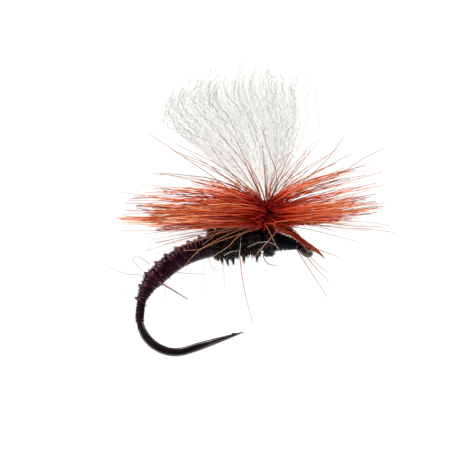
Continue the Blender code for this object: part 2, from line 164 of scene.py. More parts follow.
def eye_point(along, across):
    """A point in the eye's plane, which tips down in front and rolls down towards the fly's right."""
    down = np.array((math.cos(EYE_TILT), 0, -math.sin(EYE_TILT)))
    up = np.array((math.sin(EYE_TILT), 0, math.cos(EYE_TILT)))
    side = np.array((0, math.cos(EYE_ROLL), 0)) + math.sin(EYE_ROLL) * up
    return along * down + across * side - np.array((EYE_SET_BACK, 0, 0))


def bend_and_spear():
    headings = np.linspace(-math.pi / 2, SPEAR_RISE, 28)
    bend = [BEND_CENTRE + BEND_RADIUS * np.array((math.sin(h), 0, -math.cos(h))) for h in headings]
    forward = np.array((math.cos(SPEAR_RISE), 0, math.sin(SPEAR_RISE)))
    spear = [bend[-1] + forward * SPEAR_LENGTH * t for t in (np.arange(30) + 1) / 30]
    return bend + spear


def eye_loop():
    angles = np.radians(np.linspace(172, -135, 44))
    return [eye_point(EYE_RADIUS * math.cos(a), EYE_RADIUS * math.sin(a)) for a in angles]


class Shank:
    """The wire behind the eye: point, outward normal and sideways direction at any length."""

    def __init__(self):
        self.path = smooth([eye_point(-0.5, -0.18), *SHANK, *bend_and_spear()], 0.06)
        self.length = lengths_along(self.path)
        self.tangent = tangents(self.path)

    def at(self, s):
        s = np.asarray(s, float)
        t = unit(read_between(s, self.length, self.tangent))
        n = unit(np.cross(Y_AXIS, t))
        return read_between(s, self.length, self.path), n, np.cross(t, n)

    def length_at(self, x):
        turn = int(np.argmin(self.path[:, 0]))
        return float(np.interp(-x, -self.path[:turn, 0], self.length[:turn]))


shank = Shank()


# ---- meshes


def add_object(name, data):
    made = bpy.data.objects.new(name, data)
    bpy.context.collection.objects.link(made)
    return made


def new_piece(name, verts, faces, mat, replaces, attributes=None):
    mesh = bpy.data.meshes.new(name)
    mesh.from_pydata((np.asarray(verts) * MM).tolist(), [], faces)
    mesh.update()
    mesh.shade_smooth()
    for label, values in (attributes or {}).items():
        layer = mesh.attributes.new(label, "FLOAT", "POINT")
        layer.data.foreach_set("value", np.asarray(values, np.float32).ravel())
    mesh.materials.append(mat)
    made = add_object(name, mesh)
    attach(made, "root")
    if replaces:
        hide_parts(*replaces)


def circle(sides):
    return TURN * np.arange(sides) / sides


def tube_mesh(lines, radii, sides, ups):
    """Closed tubes round each row of points. lines is (strands, points, 3) and radii (strands, points)."""
    count, points, _ = lines.shape
    t = tangents(lines)
    n = unit(ups - np.sum(ups * t, axis=-1, keepdims=True) * t)
    b = np.cross(t, n)
    turn = circle(sides)
    ring = np.cos(turn)[None, None, :, None] * n[:, :, None]
    ring = ring + np.sin(turn)[None, None, :, None] * b[:, :, None]
    verts = lines[:, :, None] + radii[:, :, None, None] * ring
    first = (np.arange(count) * points * sides)[:, None, None]
    near = first + (np.arange(points - 1) * sides)[None, :, None]
    far = near + sides
    i = np.arange(sides)[None, None]
    j = (i + 1) % sides
    quads = np.stack([near + i, near + j, far + j, far + i], axis=-1)
    starts = first[:, 0] + np.arange(sides)[None, ::-1]
    ends = first[:, 0] + (points - 1) * sides + np.arange(sides)[None]
    faces = quads.reshape(-1, 4).tolist() + starts.tolist() + ends.tolist()
    return verts.reshape(-1, 3), faces


def side_vectors(lines, rng):
    """One direction for each strand that is well away from its own."""
    along = unit(lines[:, -1] - lines[:, 0])
    across = unit(np.cross(along, rng.normal(0, 1, along.shape)))
    return np.repeat(across[:, None], lines.shape[1], axis=1)


def strands(name, lines, radii, mat, sides, ups=None, replaces=(), tone=None):
    """One object of many fibres, with each point's place along its fibre and each fibre's own tone."""
    rng = np.random.default_rng(SEED)
    radii = np.broadcast_to(np.asarray(radii, float), lines.shape[:2])
    ups = side_vectors(lines, rng) if ups is None else ups
    verts, faces = tube_mesh(lines, radii, sides, ups)
    count, points = lines.shape[:2]
    tone = rng.uniform(0, 1, count) if tone is None else tone
    along = np.broadcast_to(shares(points)[None, :, None], (count, points, sides))
    own = np.broadcast_to(tone[:, None, None], (count, points, sides))
    new_piece(name, verts, faces, mat, replaces, {"along": along, "tone": own})


def loft(name, sections, mat, replaces):
    """A closed skin through rings of points."""
    rows, sides = len(sections), len(sections[0])
    verts = np.asarray(sections).reshape(-1, 3)
    faces = []
    for r in range(rows - 1):
        for i in range(sides):
            j = (i + 1) % sides
            faces.append([r * sides + i, r * sides + j, (r + 1) * sides + j, (r + 1) * sides + i])
    faces.append(list(range(sides))[::-1])
    faces.append(list(range((rows - 1) * sides, rows * sides)))
    new_piece(name, verts, faces, mat, replaces)


def make_core(name, s, radius, bumps, mat, replaces):
    """A solid round the shank at the lengths s, under its windings. bumps has a row for each length."""
    p, n, b = shank.at(s)
    turn = circle(bumps.shape[1])
    ring = np.cos(turn)[None, :, None] * n[:, None] + np.sin(turn)[None, :, None] * b[:, None]
    loft(name, p[:, None] + (radius[:, None] + bumps)[:, :, None] * ring, mat, replaces)


# ---- materials


class Nodes:
    """Short forms for building the node tree of a material or a world."""

    def __init__(self, owner, shader="Principled BSDF"):
        owner.use_nodes = True
        self.owner = owner
        self.tree = owner.node_tree
        self.shader = self.tree.nodes[shader]

    def add(self, kind, **values):
        node = self.tree.nodes.new(kind)
        for key, value in values.items():
            setattr(node, key, value)
        return node

    def link(self, a, b):
        self.tree.links.new(a, b)

    def set(self, node=None, **values):
        """Sets inputs by name, on the tree's own shader unless another node is given."""
        for key, value in values.items():
            (node or self.shader).inputs[key.replace("_", " ")].default_value = value

    def ramp(self, value, stops):
        node = self.add("ShaderNodeValToRGB")
        elements = node.color_ramp.elements
        while len(elements) < len(stops):
            elements.new(0.5)
        for element, (place, colour) in zip(elements, stops):
            element.position = place
            element.color = (*colour, 1)
        self.link(value, node.inputs["Fac"])
        return node.outputs["Color"]

    def by(self, name, stops):
        """Colours that follow an attribute."""
        return self.ramp(self.add("ShaderNodeAttribute", attribute_name=name).outputs["Fac"], stops)

    def noise(self, scale, detail):
        node = self.add("ShaderNodeTexNoise")
        self.set(node, Scale=scale, Detail=detail)
        self.link(self.add("ShaderNodeTexCoord").outputs["Object"], node.inputs["Vector"])
        return node.outputs["Fac"]

    def multiply(self, a, b):
        node = self.add("ShaderNodeMix", data_type="RGBA", blend_type="MULTIPLY")
        self.set(node, Factor=1.0)
        self.link(a, node.inputs["A"])
        self.link(b, node.inputs["B"])
        return node.outputs["Result"]

    def mix_shaders(self, factor, a, b):
        """A shader between two, by a number or by a socket."""
        node = self.add("ShaderNodeMixShader")
        if isinstance(factor, float):
            self.set(node, Fac=factor)
        else:
            self.link(factor, node.inputs["Fac"])
        self.link(a, node.inputs[1])
        self.link(b, node.inputs[2])
        return node.outputs["Shader"]

    def bump(self, height, distance, strength):
        node = self.add("ShaderNodeBump")
        self.set(node, Strength=strength, Distance=distance)
        self.link(height, node.inputs["Height"])
        self.link(node.outputs["Normal"], self.shader.inputs["Normal"])

    def colour(self, socket):
        self.link(socket, self.shader.inputs["Base Color"])


def new_material(name):
    return Nodes(bpy.data.materials.new(name))


def hook_bronze():
    """Bronzed and lacquered wire: near black, with redder patches."""
    n = new_material("hook_bronze")
    n.set(Roughness=0.09, Specular_IOR_Level=0.42, Specular_Tint=(1.0, 0.92, 0.92, 1))
    n.colour(n.ramp(n.noise(900, 3), [(0.3, (0.002, 0.0009, 0.0009)), (0.7, (0.009, 0.003, 0.0028))]))
    return n.owner


# Threads: dark patches, light patches, roughness, shine and its tint.
THREADS = {
    "claret_thread": ((0.003, 0.0006, 0.0018), (0.013, 0.0013, 0.0046), 0.3, 0.08, (1.0, 0.55, 0.7)),
    "claret_core": ((0.003, 0.0006, 0.0015), (0.007, 0.001, 0.003), 0.6, 0.05, (1.0, 0.6, 0.7)),
    "black_thread": ((0.0008, 0.0008, 0.0011), (0.0022, 0.002, 0.0028), 0.32, 0.07, (0.9, 0.9, 1.0)),
    "red_floss": ((0.01, 0.0009, 0.003), (0.034, 0.0022, 0.008), 0.15, 0.45, (1.0, 0.5, 0.65)),
    "pink_floss": ((0.09, 0.01, 0.034), (0.27, 0.034, 0.1), 0.24, 0.4, (1.0, 0.6, 0.75)),
    "hackle_quill": ((0.14, 0.004, 0.003), (0.28, 0.01, 0.006), 0.4, 0.1, (1.0, 0.5, 0.4)),
    "crimson_thread": ((0.08, 0.0025, 0.002), (0.15, 0.005, 0.004), 0.4, 0.1, (1.0, 0.5, 0.4)),
}


def thread_material(name):
    """Waxed thread: its tone changes from turn to turn, with fine plies in relief."""
    dark, light, rough, shine, tint = THREADS[name]
    n = new_material(name)
    n.set(Roughness=rough, Specular_IOR_Level=shine, Specular_Tint=(*tint, 1))
    base = n.ramp(n.noise(2600, 3), [(0.38, dark), (0.66, light)])
    tone = n.by("tone", [(0, (0.6, 0.6, 0.6)), (1, (1.3, 1.3, 1.3))])
    n.colour(n.multiply(base, tone))
    n.bump(n.noise(14000, 2), 0.006 * MM, 0.5)
    return n.owner


# Feather barbs: shine, colours from root to tip, and tones from the darkest barb to the palest.
FEATHERS = {
    # Crimson-dark at the stem, then rust, orange, and pale at the tips.
    "rust_hackle": (
        0.07,
        [
            (0.0, (0.36, 0.013, 0.009)), (0.14, (0.5, 0.025, 0.01)), (0.35, (0.56, 0.052, 0.013)),
            (0.75, (0.54, 0.108, 0.025)), (0.93, (0.47, 0.125, 0.04)), (1.0, (0.44, 0.16, 0.07)),
        ],
        [
            (0.0, (0.22, 0.06, 0.04)), (0.32, (0.56, 0.3, 0.22)),
            (0.62, (1.05, 1.12, 0.95)), (1.0, (1.55, 3.0, 5.5)),
        ],
    ),
    # Crimson, where the barbs leave the stem.
    "crimson_web": (
        0.1,
        [(0.0, (0.27, 0.008, 0.008)), (0.6, (0.5, 0.018, 0.014)), (1.0, (0.52, 0.04, 0.022))],
        [(0.0, (0.35, 0.25, 0.3)), (0.5, (0.9, 0.85, 0.9)), (1.0, (1.3, 2.0, 2.0))],
    ),
    # The paler, unevenly dyed barbs that lie out of order.
    "tan_hackle": (
        0.15,
        [(0.0, (0.26, 0.038, 0.018)), (0.35, (0.31, 0.1, 0.05)), (1.0, (0.31, 0.155, 0.098))],
        [(0.0, (0.55, 0.35, 0.3)), (0.5, (1.0, 0.95, 0.9)), (1.0, (1.55, 1.9, 2.2))],
    ),
    # The duller, pinker backs of the barbs on the hackle's underside.
    "rose_hackle": (
        0.07,
        [(0.0, (0.26, 0.022, 0.013)), (0.5, (0.36, 0.07, 0.04)), (1.0, (0.42, 0.13, 0.075))],
        [(0.0, (0.5, 0.3, 0.3)), (0.5, (0.9, 0.85, 0.85)), (1.0, (1.1, 1.5, 1.7))],
    ),
    # The matted tip: wet-looking dark rust.
    "matted_hackle": (
        0.15,
        [(0.0, (0.15, 0.006, 0.005)), (0.45, (0.26, 0.02, 0.008)), (1.0, (0.4, 0.066, 0.022))],
        [(0.0, (0.3, 0.2, 0.25)), (0.5, (0.85, 0.8, 0.85)), (1.0, (1.3, 2.4, 2.4))],
    ),
}


def feather_material(name):
    """Dyed feather barbs, coloured along their length and a little different from barb to barb."""
    shine, stops, tones = FEATHERS[name]
    n = new_material(name)
    n.set(Roughness=0.45, Specular_IOR_Level=shine, Specular_Tint=(1.0, 0.4, 0.2, 1))
    n.colour(n.multiply(n.by("along", stops), n.by("tone", tones)))
    n.bump(n.noise(30000, 1), 0.003 * MM, 0.4)
    return n.owner


# Yarn: tones from the greyest fibre to the whitest, and its emission from the post to the top, which is
# painted light standing in for light scattered inside the fan.
YARN_TONES = [
    (0.0, (0.3, 0.285, 0.26)), (0.2, (0.52, 0.51, 0.49)),
    (0.45, (0.67, 0.665, 0.65)), (1.0, (0.72, 0.715, 0.705)),
]
YARN_PAINTED_GLOW = [
    (0.0, (1.1, 1.13, 1.14)), (0.25, (1.04, 1.06, 1.07)),
    (0.6, (0.85, 0.86, 0.87)), (1.0, (0.7, 0.71, 0.72)),
]
YARN_SEE_THROUGH = 0.45


def yarn_material():
    """White yarn with some greyer fibres. Light passes through it, and its emission is painted light that
    stands in for the light scattered in its depth.
    """
    n = new_material("white_yarn")
    n.set(Roughness=0.55, Specular_IOR_Level=0.3, Emission_Strength=1.0)
    tone = n.by("tone", YARN_TONES)
    n.colour(tone)
    # Painted light: an emission colour, brightest near the post, that stands in for light scattered through
    # the fibres.
    painted_glow = n.multiply(n.by("along", YARN_PAINTED_GLOW), tone)
    n.link(painted_glow, n.shader.inputs["Emission Color"])
    through = n.add("ShaderNodeBsdfTranslucent")
    n.link(tone, through.inputs["Color"])
    both = n.mix_shaders(YARN_SEE_THROUGH, n.shader.outputs["BSDF"], through.outputs["BSDF"])
    n.link(both, n.tree.nodes["Material Output"].inputs["Surface"])
    return n.owner


HERL_COLOURS = [
    (0.0, (0.0006, 0.0006, 0.0006)), (0.6, (0.0012, 0.001, 0.0008)), (1.0, (0.068, 0.034, 0.016)),
]
# Tones from the darkest flue to the brightest. The two brightest stops, pale gold and bright gold, are
# painted glints.
HERL_TONES_AND_GLINTS = [
    (0.0, (0.12, 0.12, 0.15)), (0.78, (0.45, 0.45, 0.45)),
    (0.94, (1.5, 1.4, 0.9)), (1.0, (6.0, 5.4, 2.0)),
]


def herl_material():
    """Peacock herl: near black, bronze towards the tips of its flue, with its gold and green brightened into
    painted glints.
    """
    n = new_material("peacock_herl")
    n.set(Roughness=0.12, Specular_IOR_Level=0.32, Specular_Tint=(0.95, 0.93, 0.88, 1))
    n.colour(n.multiply(n.by("along", HERL_COLOURS), n.by("tone", HERL_TONES_AND_GLINTS)))
    return n.owner


def hair_material():
    """Fine loose fibres: grey-brown and slightly shiny."""
    n = new_material("loose_fibre")
    n.set(Roughness=0.4, Specular_IOR_Level=0.4)
    stops = [(0.0, (0.1, 0.085, 0.085)), (0.5, (0.2, 0.17, 0.16)), (1.0, (0.5, 0.44, 0.42))]
    n.colour(n.by("tone", stops))
    return n.owner


def floor_material():
    n = new_material("studio_floor")
    n.set(Roughness=0.9, Emission_Color=(1, 1, 1, 1), Emission_Strength=0.1)
    n.colour(n.ramp(n.noise(3, 2), [(0.4, (0.88, 0.88, 0.88)), (0.6, (0.92, 0.92, 0.92))]))
    return n.owner


# ---- hook


def make_hook(mat):
    """The bent wire, with its flattened bend, needle point and barb."""
    loop = np.array(eye_loop())
    line = np.vstack([loop, resample(shank.path, 420)])
    s = lengths_along(line)
    behind = s - s[len(loop)]
    left = s[-1] - s
    radius = EYE_WIRE + (WIRE - EYE_WIRE) * np.clip(behind / EYE_NECK, 0, 1)
    radius = radius * np.clip((left / POINT_LENGTH + 0.01) ** 0.8, 0, 1)
    radius[:3] = radius[:3] * np.array(EYE_END_TAPER)
    t = tangents(line[None])[0]
    turn = circle(40)
    sections = []
    for p, n, along, r, gone, rest in zip(line, transported_frames(t), t, radius, behind, left):
        b = np.cross(along, n)
        forged = forging(p, gone)
        over, side = (r + FORGED_SPREAD * forged) * np.cos(turn), r * np.sin(turn)
        half = r - forged * max(r - FORGED_HALF, 0)
        side = np.clip(side, -half, half)
        lift = barb_lift(rest) * np.clip(-np.cos(turn) * 1.6 - 0.4, 0, 1) ** 1.5
        sections.append(p + (over - lift)[:, None] * n + side[:, None] * b)
    loft("hook_wire", sections, mat, ["hook"])


def transported_frames(t):
    """Normals carried along the wire without twist, pointing outwards on the shank."""
    count = len(t)
    middle = count // 2
    frames = np.zeros_like(t)
    frames[middle] = unit(np.cross(Y_AXIS, t[middle]))
    for i in list(range(middle + 1, count)) + list(range(middle - 1, -1, -1)):
        before = frames[i - 1] if i > middle else frames[i + 1]
        frames[i] = unit(before - np.dot(before, t[i]) * t[i])
    return frames


def forging(point, gone):
    """How far the wire is flattened: fully round the bend, none on the shank, eye and point."""
    if gone <= 0 or point[2] > FORGED_BELOW:
        return 0.0
    into = min(1.0, (FORGED_BELOW - point[2]) / 0.8)
    out = min(1.0, max(0.0, (FORGED_BEHIND - point[0]) / 1.0))
    return into * out


def barb_lift(left):
    """Height of the barb above the spear: a slow rise from the point, then a sharp drop."""
    start, lip = BARB_FROM_POINT - BARB_RISE, BARB_FROM_POINT
    if left < start or left > lip + BARB_DROP:
        return 0.0
    if left <= lip:
        return BARB_HEIGHT * ((left - start) / (lip - start)) ** 1.5
    return BARB_HEIGHT * (1 - (left - lip) / BARB_DROP)


# ---- windings

POINTS_PER_TURN = 26


def outward(angle, n, b):
    """Directions round a path, from its normal n towards b."""
    return np.cos(angle)[:, None] * n + np.sin(angle)[:, None] * b


def winding(start, end, turns, radius, inset, rng, jitter=0.0, wobble=0.0, proud=0.0, slant=0.0):
    """A thread wound on the shank inset below radius, with its outward directions. proud lifts its back."""
    count = int(abs(turns) * POINTS_PER_TURN)
    share = shares(count)
    angle = TURN * turns * share
    knots = rng.normal(0, 1, int(abs(turns) * 2) + 3)
    drift = np.interp(share, shares(len(knots)), knots)
    rise = rng.normal(0, 1, int(abs(turns) * 5) + 3)
    bulge = np.interp(share, shares(len(rise)), rise)
    s = start + (end - start) * share + jitter * drift + slant * np.cos(angle)
    p, n, b = shank.at(s)
    out = outward(angle, n, b)
    away = radius(s) - inset + wobble * bulge + proud * np.clip(np.cos(angle), 0, 1) ** 2
    return (p + away[:, None] * out)[None], out[None]


def wind(name, path, radius, mat, sides=6, replaces=()):
    """One thread along a path that comes with its outward directions."""
    line, out = path
    strands(name, line, radius, mat, sides, out, replaces)


ABDOMEN_FRONT = shank.length_at(-6.25)
TAIL = shank.length_at(-11.45)
TAIL_END = TAIL + 1.66
BODY_RADIUS = [
    (0.0, 0.78), (0.06, 0.76), (0.3, 0.7), (0.6, 0.69),
    (0.74, 0.66), (0.84, 0.54), (0.92, 0.42), (1.0, 0.32),
]


def body_radius(s):
    return profile(BODY_RADIUS, (np.asarray(s) - ABDOMEN_FRONT) / (TAIL - ABDOMEN_FRONT))


def make_abdomen(core_mat, thread_mat, rib_mat):
    rng = draws(1)
    s = np.linspace(ABDOMEN_FRONT - 0.35, TAIL + 0.4, 150)
    bumps = rng.normal(0, 0.012, (len(s), 40))
    make_core("abdomen_core", s, body_radius(s) - 0.045, bumps, core_mat, ["abdomen_wrap"])

    # Flat, close turns make the smooth flank. The turns over them stand up only along the back.
    flat = winding(ABDOMEN_FRONT - 0.2, TAIL + 0.1, 62, body_radius, 0.03, rng, 0.02, 0.006, slant=0.03)
    wind("abdomen_thread", flat, 0.062, thread_mat)
    over = winding(TAIL + 0.2, ABDOMEN_FRONT, -24, body_radius, 0.1, rng, 0.05, 0.018, 0.1, -0.08)
    wind("abdomen_over_thread", over, 0.1, rib_mat, 8)
    rib = winding(ABDOMEN_FRONT + 0.1, TAIL, 8, body_radius, 0.12, rng, 0.08, 0.012, 0.22, 0.1)
    wind("rib_floss", rib, 0.13, rib_mat, 10, ["rib_thread"])

    # Loose turns that cross each other at the tail.
    lines = []
    for _ in range(16):
        start = TAIL - 2.6 + 3.2 * rng.uniform()
        turns = rng.uniform(0.5, 1.1)
        first = rng.uniform(-1.0, 0.5)
        share = shares(34)
        angle = TURN * (turns * share + first)
        at = start + rng.uniform(-0.9, 0.9) * (share - 0.5)
        p, n, b = shank.at(at)
        lift = body_radius(at) + 0.035 + 0.1 * rng.uniform() * np.sin(np.pi * share)
        lines.append(p + lift[:, None] * outward(angle, n, b))
    strands("tail_threads", np.array(lines), 0.024, rib_mat, 5)


def make_thread_base(mat):
    """Touching turns below the body, on the bend."""
    rng = draws(2)
    turns = winding(TAIL - 0.3, TAIL_END, 24, lambda s: 0.285, 0, rng, 0.01, 0.006)
    wind("bend_thread", turns, 0.042, mat, replaces=["thread_base"])


HEAD_FRONT = shank.length_at(-0.62)
HEAD_REAR = shank.length_at(-2.42)
HEAD_RADIUS = [(0, 0.27), (0.12, 0.34), (0.35, 0.44), (0.65, 0.58), (0.88, 0.7), (1, 0.66)]


def head_radius(s):
    return profile(HEAD_RADIUS, (s - HEAD_FRONT) / (HEAD_REAR - HEAD_FRONT))


def make_head(mat):
    rng = draws(3)
    s = np.linspace(HEAD_FRONT, HEAD_REAR, 40)
    radius = head_radius(s) - 0.05
    replaced = ["head_wraps", "thread_dam"]
    make_core("head_core", s, radius, np.zeros((len(s), 32)), mat, replaced)
    wraps = winding(HEAD_FRONT, HEAD_REAR, 24, head_radius, 0, rng, 0.03, 0.012, slant=0.06)
    wind("head_thread", wraps, 0.045, mat)
    whip = winding(HEAD_REAR - 0.1, HEAD_FRONT + 0.1, -11, head_radius, -0.03, rng, 0.05, 0.01, slant=-0.12)
    wind("head_whip", whip, 0.042, mat, replaces=["whip_finish"])


# ---- thorax

THORAX_FRONT = shank.length_at(-3.15)
THORAX_REAR = shank.length_at(-6.45)
POINTS_PER_HERL_TURN = 40
HERL_TURNS = 3.6
FRONT_HERL_TURNS = 3.2
FLUE_RADIUS = 0.032
TUFT_RADIUS = 0.034


def flue(name, quill, out, tufts, each, length, mat, rng, pull=0.75):
    """Barbules that stand out from a herl's quill. Each tuft of them draws together to one point."""
    total = tufts * each
    pick = rng.integers(2, len(quill) - 2, tufts)
    normal, tangent = out[pick], unit(np.gradient(quill, axis=0)[pick])
    across = np.cross(normal, tangent)
    lean = rng.normal(0, 0.5, (tufts, 1))
    slant = rng.normal(0, 0.6, (tufts, 1))
    direction = unit(normal + lean * tangent + slant * across)
    reach = length * rng.uniform(0.6, 1.25, (tufts, 1))
    tip = quill[pick] + direction * reach
    full = np.repeat(reach, each, axis=0)
    root = np.repeat(quill[pick], each, axis=0) + rng.normal(0, 0.1, (total, 3))
    own = unit(np.repeat(direction, each, axis=0) + rng.normal(0, 0.38, (total, 3)))
    free = root + own * full * rng.uniform(0.7, 1.05, (total, 1))
    pulled = pull * rng.uniform(0.4, 1.0, (total, 1))
    end = free + (np.repeat(tip, each, axis=0) - free) * pulled
    t = shares(6)
    rise = t[None, :, None]
    bow = rng.normal(0, 0.09, (total, 1, 3)) * full[:, None]
    lines = root[:, None] + (end - root)[:, None] * rise + bow * rise * (1 - rise) * 4
    radii = FLUE_RADIUS * (1 - 0.8 * t**1.3)[None] * rng.uniform(0.7, 1.5, (total, 1))
    # Only the flue that stands up gets the gold and green: painted glints where the light from above falls.
    painted_glint_share = np.clip(0.5 + 0.5 * direction[:, 2], 0, 1)
    own_tone = rng.uniform(0, 1, tufts) * (0.78 + 0.24 * painted_glint_share)
    tone = np.clip(np.repeat(own_tone, each) + rng.normal(0, 0.1, total), 0, 1)
    strands(name, lines, radii, mat, 4, tone=tone)


def make_thorax(mat, core_mat):
    """The lashed butts of the yarn under three strands of herl, each with long and short flue."""
    rng = draws(4)
    s = np.linspace(THORAX_FRONT - 0.9, THORAX_REAR + 0.05, 40)
    radius = np.interp(s, [s[0], THORAX_FRONT, THORAX_REAR], [0.5, 0.74, 0.78])
    bumps = rng.normal(0, 0.03, (len(s), 32))
    make_core("thorax_core", s, radius, bumps, core_mat, ["butt_lashing"])
    for strand in range(3):
        number = strand + 1
        share = shares(int(HERL_TURNS * POINTS_PER_HERL_TURN))
        angle = TURN * (HERL_TURNS * share + strand / 3)
        p, n, b = shank.at(THORAX_FRONT + (THORAX_REAR - THORAX_FRONT) * share + strand * 0.12)
        out = outward(angle, n, b)
        quill = p + 0.1 * n + (0.86 + rng.normal(0, 0.02, len(share)))[:, None] * out
        path = quill[None], out[None]
        wind(f"herl_quill_{number}", path, 0.075, core_mat, 6, [f"herl_strand_{number}"])
        flue(f"herl_flue_{number}", quill, out, 190, 7, 0.44, mat, rng)
        flue(f"herl_short_flue_{number}", quill, out, 520, 2, 0.3, mat, rng, 0.2)


def make_hanging_tufts(mat):
    """Tufts of flue that hang below the thorax, each drawn to a brown point."""
    rng = draws(11)
    t = shares(7)
    rise = t[:, None]
    lines, tones = [], []
    for x in (-6.05, -5.75, -5.5, -5.25, -4.95, -4.75, -4.5, -4.3, -4.05, -3.85, -3.6, -3.3):
        p, n, b = shank.at(shank.length_at(x))
        y = rng.uniform(-0.35, 0.35)
        root = p - n * 0.8 + b * y
        reach = rng.uniform(0.45, 1.0)
        tip = root - n * reach + np.array((rng.uniform(-0.22, 0.3), rng.uniform(-0.1, 0.1), 0))
        own = rng.uniform(0.3, 1.0)
        for _ in range(9):
            aside = rng.uniform(-0.13, 0.13), rng.uniform(-0.12, 0.12), rng.uniform(0, 0.2)
            start = root + np.array(aside)
            end = tip + rng.normal(0, 0.03, 3) + (root - tip) * rng.uniform(0, 0.35)
            bow = rng.normal(0, 0.05, 3)
            lines.append(start + (end - start) * rise + bow * 4 * rise * (1 - rise))
            tones.append(np.clip(own + rng.normal(0, 0.1), 0, 1))
    radii = TUFT_RADIUS * (1 - 0.75 * t**1.4)[None] * rng.uniform(0.8, 1.3, (len(lines), 1))
    strands("herl_tufts", np.array(lines), radii, mat, 4, tone=np.array(tones))


def make_front_herl(mat, core_mat):
    """The turns of herl between the post and the head, with their bristle."""
    rng = draws(5)
    middle = shank.length_at(-2.62)
    share = shares(int(FRONT_HERL_TURNS * POINTS_PER_HERL_TURN))
    p, n, b = shank.at(middle - 0.34 + 0.6 * share)
    out = outward(TURN * FRONT_HERL_TURNS * share, n, b)
    quill = p + 0.84 * out
    wind("front_herl_quill", (quill[None], out[None]), 0.12, core_mat, 8, ["herl_front_turn"])
    flue("front_herl_flue", quill, out, 190, 6, 0.26, mat, rng)


# ---- post and hackle

POST_UP = np.array((math.sin(POST_LEAN), 0, math.cos(POST_LEAN)))
POST_EAST = np.array((math.cos(POST_LEAN), 0, -math.sin(POST_LEAN)))
BARB_START = 0.5
TAIL_REACH = 9.0
EYE_REACH = 8.4
LOOSE_SHARE = 0.15


def around_post(angle, radius, height):
    angle = np.asarray(angle)[..., None]
    radius = np.asarray(radius)[..., None]
    height = np.asarray(height)[..., None]
    out = np.cos(angle) * POST_EAST + np.sin(angle) * Y_AXIS
    return POST_FOOT + height * POST_UP + radius * out


def coil(low, high, turns, radius):
    """A thread wound on the post, with its outward directions."""
    share = shares(int(turns * 28))
    angle = TURN * turns * share
    line = around_post(angle, radius + 0 * share, low + (high - low) * share)
    out = around_post(angle, 1 + 0 * share, 0 * share) - POST_FOOT
    return line[None], out[None]


def make_post(thread_mat, quill_mat):
    wraps = coil(-0.1, POST_TOP, 22, 0.44)
    tie_off = coil(-0.45, 0.28, 8, 0.58)
    stem = coil(0.3, POST_TOP - 0.05, 6, 0.56)
    wind("post_thread", wraps, 0.05, thread_mat, 6, ["post_wraps"])
    wind("tie_off_thread", tie_off, 0.05, thread_mat, 6, ["hackle_tie_off"])
    wind("hackle_stem", stem, 0.07, quill_mat, 8, ["hackle_quill"])


def barb_lines(angle, low, first_slope, last_slope, reach, rng, points=14, ease=2.2):
    """Barbs from the post outwards. Each starts at its first slope and settles to its last."""
    t = shares(points)[None]
    run = reach[:, None] * t
    settle = ease * (1 - np.exp(-run / ease))
    rise = last_slope[:, None] * run + (first_slope - last_slope)[:, None] * settle
    norm = np.sqrt(1 + last_slope[:, None] ** 2)
    lines = around_post(angle[:, None] + 0 * t, BARB_START + run / norm, low[:, None] + rise / norm)
    shake = wander(rng, len(angle), points, 3, 0.1)
    return lines + shake * (t[..., None] ** 1.3) * (reach / TAIL_REACH)[:, None, None]


def slopes(degrees):
    return np.tan(np.radians(degrees))


def barbs(name, lines, mat, rng, radius, spread, tones, replaces=()):
    """Tapered barbs. radius is (root, tip, power), and each barb draws its own thickness and tone."""
    count, points, _ = lines.shape
    radii = taper(points, *radius)[None] * rng.uniform(*spread, (count, 1))
    strands(name, lines, radii, mat, 5, replaces=replaces, tone=rng.uniform(*tones, count))


def clump(lines, groups, pull, rng):
    """Draws barbs into locks, more towards their tips. Gives the new lines and the lock of each."""
    count, points, _ = lines.shape
    leaders = lines[rng.choice(count, groups, replace=False)]
    place = points * 2 // 3
    gaps = np.linalg.norm(lines[:, None, place] - leaders[None, :, place], axis=-1)
    lock = np.argmin(gaps, axis=1)
    t = shares(points)[None, :, None]
    held = rng.uniform(0, 1, (count, 1, 1)) > LOOSE_SHARE
    strength = np.reshape(pull, (-1, 1, 1)) * rng.uniform(0.6, 1.0, (count, 1, 1)) * held
    return lines + (leaders[lock] - lines) * strength * t**1.1, lock


# Each turn of hackle: barbs, height on the post, steepness of the roots and its spread, slope further out
# towards the tail and towards the eye and its spread (in degrees), reach towards the eye, the shortest
# barb's share of the longest, and locks.
HACKLE_TURNS = [
    (120, 0.34, -6, 4, 3.3, 2.6, 1.5, 7.5, 0.78, 16),
    (190, 0.6, -4, 5, 2.9, 4.2, 1.6, 7.9, 0.78, 28),
    (170, 0.92, 3, 6, 2.0, 6.2, 2.4, 8.2, 0.7, 28),
    (115, 1.27, 10, 8, 2.6, 7.4, 3.4, 8.3, 0.56, 28),
    (80, 1.62, 22, 10, 3.4, 10.0, 4.8, 8.3, 0.5, 30),
]
ROOT_STEEPNESS = 4.4


def hackle_angles(count, rng):
    """Directions round the post. The barbs have parted on the fly's right side, and are fewer at the eye."""
    angle = rng.uniform(0, TURN, count * 2)
    from_right = np.abs((angle + np.pi / 2 + np.pi) % TURN - np.pi)
    from_eye = np.minimum(angle, TURN - angle)
    kept = (from_right > math.radians(30)) | (rng.uniform(0, 1, count * 2) < 0.06)
    kept = kept & ((from_eye > math.radians(60)) | (rng.uniform(0, 1, count * 2) < 0.72))
    return angle[kept][:count]


